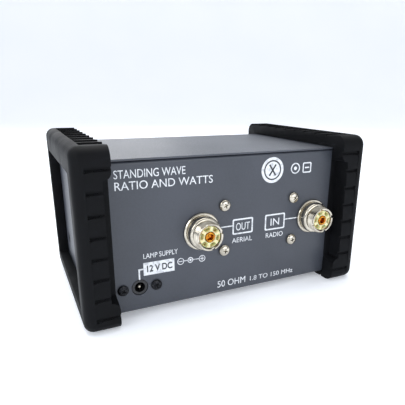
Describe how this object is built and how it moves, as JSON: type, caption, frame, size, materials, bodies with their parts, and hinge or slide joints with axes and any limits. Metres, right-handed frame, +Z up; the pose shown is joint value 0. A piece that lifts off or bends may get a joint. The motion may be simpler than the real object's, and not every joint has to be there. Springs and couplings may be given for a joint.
{
  "type": "swr meter",
  "caption": "Cross-needle SWR and power meter: painted metal case between two moulded end frames, UHF sockets and a power jack behind, meter window, knob and buttons in front.",
  "frame": {"origin": "middle of the footprint, on the surface the end frames stand on", "axes": "+Z up; -Y is the front, which the meter faces; +Y is the rear, which the sockets face; +X is to the right as seen from the front"},
  "size_m": [0.175, 0.1192, 0.095],
  "materials": {
    "panel_paint": "satin powder coat, dark blue-grey",
    "cover_paint": "fine-textured paint, mid grey",
    "frame_rubber": "matt moulded, near black",
    "nickel": "bright nickel plate",
    "gold": "gold plate",
    "socket_insulator": "moulded pale yellow thermoset",
    "black_plastic": "moulded black, semi-gloss",
    "black_screw": "black oxide",
    "clear_lens": "clear acrylic",
    "dial_card": "cream card",
    "needle_paint": "black paint on foil",
    "tinned_steel": "tinned sheet",
    "magnet_steel": "ground steel",
    "copper": "bare copper",
    "brass": "bright brass",
    "ferrite": "matt ferrite",
    "circuit_board": "green solder mask",
    "lamp_glass": "frosted lamp",
    "wire_sleeve": "red PVC sleeve"
  },
  "bodies": {
    "case": {"chassis_tray": "panel_paint", "control_board": "circuit_board", "coupler_board": "circuit_board", "coupler_box": "tinned_steel", "coupler_lid": "tinned_steel", "coupler_line": "copper", "coupler_screw_input_lower": "nickel", "coupler_screw_input_upper": "nickel", "coupler_screw_output_lower": "nickel", "coupler_screw_output_upper": "nickel", "current_transformer_core": "ferrite", "forward_bridge": "brass", "forward_hairspring": "brass", "forward_magnet": "magnet_steel", "front_panel": "panel_paint", "input_base_ring": "nickel", "input_contact": "gold", "input_insulator": "socket_insulator", "input_shell": "nickel", "jack_screw_left": "black_screw", "jack_screw_right": "black_screw", "lamp_board": "circuit_board", "lamp_lead": "wire_sleeve", "lamp_switch": "black_plastic", "meter_apron": "black_plastic", "meter_dial": "dial_card", "meter_housing": "black_plastic", "meter_lamp_left": "lamp_glass", "meter_lamp_right": "lamp_glass", "meter_lens": "clear_lens", "mode_switch": "black_plastic", "output_base_ring": "nickel", "output_contact": "gold", "output_insulator": "socket_insulator", "output_shell": "nickel", "power_jack_body": "black_plastic", "power_jack_pin": "nickel", "range_nut": "nickel", "range_switch": "black_plastic", "reflected_bridge": "brass", "reflected_hairspring": "brass", "reflected_magnet": "magnet_steel", "side_frame_left": "frame_rubber", "side_frame_right": "frame_rubber", "side_screw_left_front": "black_screw", "side_screw_left_rear": "black_screw", "side_screw_right_front": "black_screw", "side_screw_right_rear": "black_screw", "signal_lead": "wire_sleeve", "top_cover": "cover_paint"},
    "forward_pointer": {"forward_needle": "needle_paint", "forward_coil": "copper"},
    "reflected_pointer": {"reflected_needle": "needle_paint", "reflected_coil": "copper"},
    "range_control": {"range_knob": "black_plastic", "range_shaft": "nickel"},
    "mode_push": {"mode_button": "black_plastic"},
    "lamp_push": {"lamp_button": "black_plastic"},
    "forward_adjuster": {"forward_zero_adjuster": "black_plastic"},
    "reflected_adjuster": {"reflected_zero_adjuster": "black_plastic"}
  },
  "joints": [
    {"name": "forward_needle_swing", "type": "hinge", "parent": "case", "child": "forward_pointer", "pos_m": [0.018, -0.0325, 0.0225], "axis": [0, 1, 0], "range_deg": [0, 43], "stiffness_Nm_per_rad": 0.0002},
    {"name": "reflected_needle_swing", "type": "hinge", "parent": "case", "child": "reflected_pointer", "pos_m": [-0.052, -0.0325, 0.0225], "axis": [0, -1, 0], "range_deg": [0, 43], "stiffness_Nm_per_rad": 0.0002},
    {"name": "range_knob_turn", "type": "hinge", "parent": "case", "child": "range_control", "pos_m": [0.053, -0.054, 0.058], "axis": [0, 1, 0], "range_deg": [0, 60]},
    {"name": "mode_button_push", "type": "slide", "parent": "case", "child": "mode_push", "axis": [0, 1, 0], "range_m": [0, 0.003], "stiffness_N_per_m": 300},
    {"name": "lamp_button_push", "type": "slide", "parent": "case", "child": "lamp_push", "axis": [0, 1, 0], "range_m": [0, 0.003], "stiffness_N_per_m": 300},
    {"name": "forward_zero_adjust", "type": "hinge", "parent": "case", "child": "forward_adjuster", "pos_m": [0.018, -0.049, 0.0205], "axis": [0, 1, 0], "range_deg": [-40, 40]},
    {"name": "reflected_zero_adjust", "type": "hinge", "parent": "case", "child": "reflected_adjuster", "pos_m": [-0.052, -0.049, 0.0205], "axis": [0, 1, 0], "range_deg": [-40, 40]}
  ]
}
